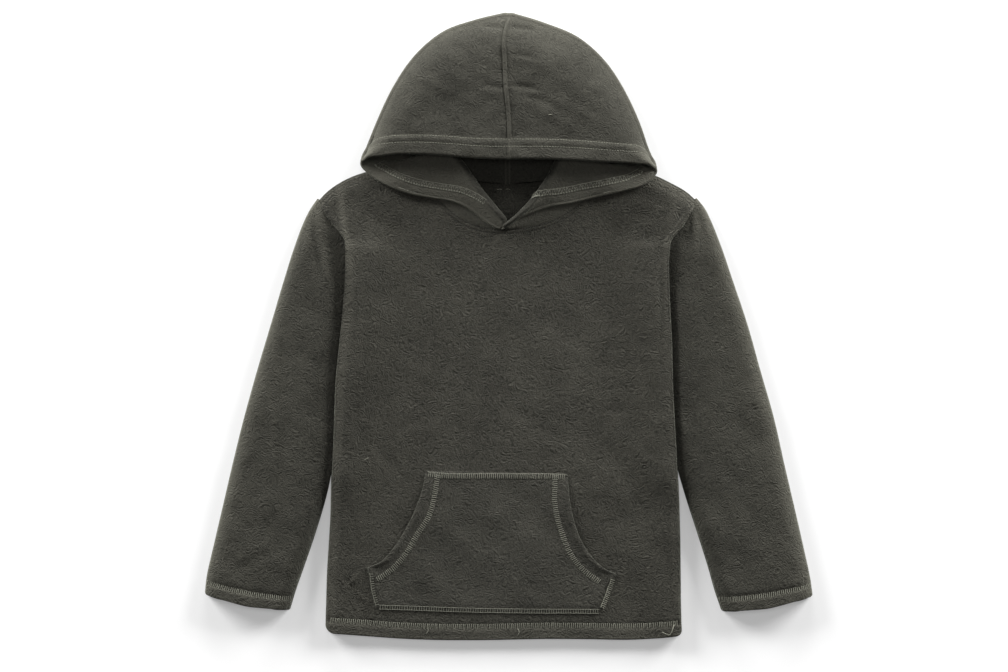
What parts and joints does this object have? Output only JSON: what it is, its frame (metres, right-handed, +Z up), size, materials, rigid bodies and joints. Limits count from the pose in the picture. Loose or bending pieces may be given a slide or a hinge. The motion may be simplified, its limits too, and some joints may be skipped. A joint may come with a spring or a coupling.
{
  "type": "hooded jumper",
  "caption": "Child's fleece pullover jumper with a hood and a kangaroo pocket, laid flat on its back with the sleeves drawn down.",
  "frame": {"origin": "on the table under the middle of the garment's plan outline: the cloth that lies on the table is at z = 0", "axes": "+Y from the hem to the top of the hood, +Z up from the table towards the garment's front, +X towards the viewer's right (the wearer's left sleeve)"},
  "size_m": [0.6504, 0.67, 0.016],
  "materials": {
    "fleece_body": "matt microfleece, dark olive grey",
    "fleece_sleeve": "matt microfleece, dark olive grey",
    "fleece_hood": "matt microfleece, dark olive grey",
    "fleece_pocket": "matt microfleece, dark olive grey"
  },
  "bodies": {
    "root": {"back": "fleece_body", "front": "fleece_body", "sleeve_left": "fleece_sleeve", "sleeve_right": "fleece_sleeve", "hood_left": "fleece_hood", "hood_right": "fleece_hood", "pocket": "fleece_pocket"}
  },
  "joints": []
}
